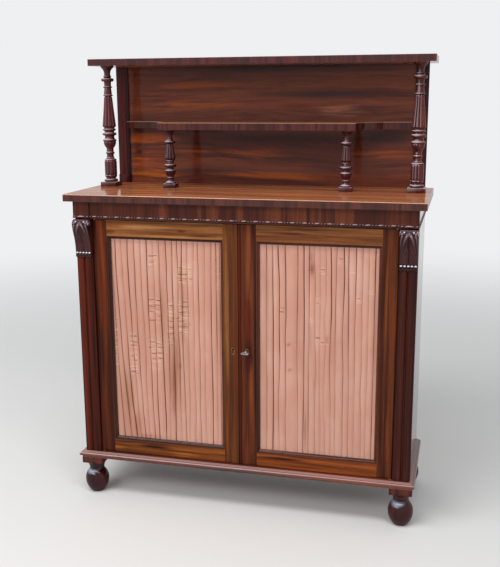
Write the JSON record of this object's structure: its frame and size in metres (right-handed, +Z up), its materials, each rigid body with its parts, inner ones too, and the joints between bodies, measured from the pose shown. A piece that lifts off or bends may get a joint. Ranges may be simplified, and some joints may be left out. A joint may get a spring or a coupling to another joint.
{
  "type": "chiffonier",
  "caption": "Low two-door cupboard on ball feet with pleated silk door panels, carved brackets and a shelved gallery on turned columns.",
  "frame": {"origin": "on the floor, under the middle of the deck", "axes": "+Z up, +X to the viewer's right, front of the cabinet towards -Y"},
  "size_m": [1.09, 0.406, 1.394],
  "materials": {
    "rosewood": "french polished, figured",
    "turned_rosewood": "french polished, dark",
    "carcass_wood": "waxed",
    "silk": "pleated",
    "brass": "aged",
    "steel": "worn"
  },
  "bodies": {
    "root": {"deck": "rosewood", "side_left": "rosewood", "side_right": "rosewood", "bottom_board": "carcass_wood", "back_boards": "carcass_wood", "top_rails": "carcass_wood", "frieze": "rosewood", "frieze_blocks": "rosewood", "bead_moulding": "turned_rosewood", "pilaster_left": "rosewood", "pilaster_right": "rosewood", "corbel_left": "turned_rosewood", "corbel_right": "turned_rosewood", "plinth_moulding": "rosewood", "base_frame": "carcass_wood", "foot_front_left": "turned_rosewood", "foot_front_right": "turned_rosewood", "foot_rear_left": "turned_rosewood", "foot_rear_right": "turned_rosewood", "inner_shelf": "carcass_wood", "shelf_bearers": "carcass_wood", "gallery_back": "rosewood", "rear_pilaster_left": "rosewood", "rear_pilaster_right": "rosewood", "tall_column_left": "turned_rosewood", "tall_column_right": "turned_rosewood", "small_column_left": "turned_rosewood", "small_column_right": "turned_rosewood", "mid_shelf": "rosewood", "top_board": "rosewood", "carcass_pivot_plates": "brass", "carcass_screws": "steel"},
    "left_door": {"left_door_hinge_stile": "rosewood", "left_door_meeting_stile": "rosewood", "left_door_top_rail": "rosewood", "left_door_bottom_rail": "rosewood", "left_door_panel_moulding": "rosewood", "left_door_silk": "silk", "left_door_backboard": "carcass_wood", "left_door_pivot_plates": "brass", "left_escutcheon": "brass", "strike_plate": "brass", "barrel_bolt_plates": "brass", "left_door_screws": "steel"},
    "right_door": {"right_door_hinge_stile": "rosewood", "right_door_meeting_stile": "rosewood", "astragal_bead": "rosewood", "right_door_top_rail": "rosewood", "right_door_bottom_rail": "rosewood", "right_door_panel_moulding": "rosewood", "right_door_silk": "silk", "right_door_backboard": "carcass_wood", "right_door_pivot_plates": "brass", "right_escutcheon": "brass", "lock_case": "brass", "right_door_screws": "steel"},
    "key": {"key": "steel"},
    "lock_bolt": {"lock_bolt": "brass"},
    "upper_bolt": {"upper_bolt_rod": "brass"},
    "lower_bolt": {"lower_bolt_rod": "brass"}
  },
  "joints": [
    {"name": "left_door_hinge", "type": "hinge", "parent": "root", "child": "left_door", "pos_m": [-0.4637, -0.158, 0.5275], "axis": [0, 0, -1], "range_deg": [0, 90]},
    {"name": "right_door_hinge", "type": "hinge", "parent": "root", "child": "right_door", "pos_m": [0.4637, -0.158, 0.5275], "axis": [0, 0, 1], "range_deg": [0, 90]},
    {"name": "key_turn", "type": "hinge", "parent": "right_door", "child": "key", "pos_m": [0.022, -0.1645, 0.52], "axis": [0, -1, 0], "range_deg": [0, 180]},
    {"name": "lock_bolt_throw", "type": "slide", "parent": "right_door", "child": "lock_bolt", "axis": [-1, 0, 0], "range_m": [0, 0.008]},
    {"name": "upper_bolt_throw", "type": "slide", "parent": "left_door", "child": "upper_bolt", "axis": [0, 0, 1], "range_m": [0, 0.01]},
    {"name": "lower_bolt_throw", "type": "slide", "parent": "left_door", "child": "lower_bolt", "axis": [0, 0, -1], "range_m": [0, 0.01]}
  ],
  "couplings": [
    {"joint": "key_turn", "follows": "lock_bolt_throw", "rad_per_m": 392.69}
  ]
}
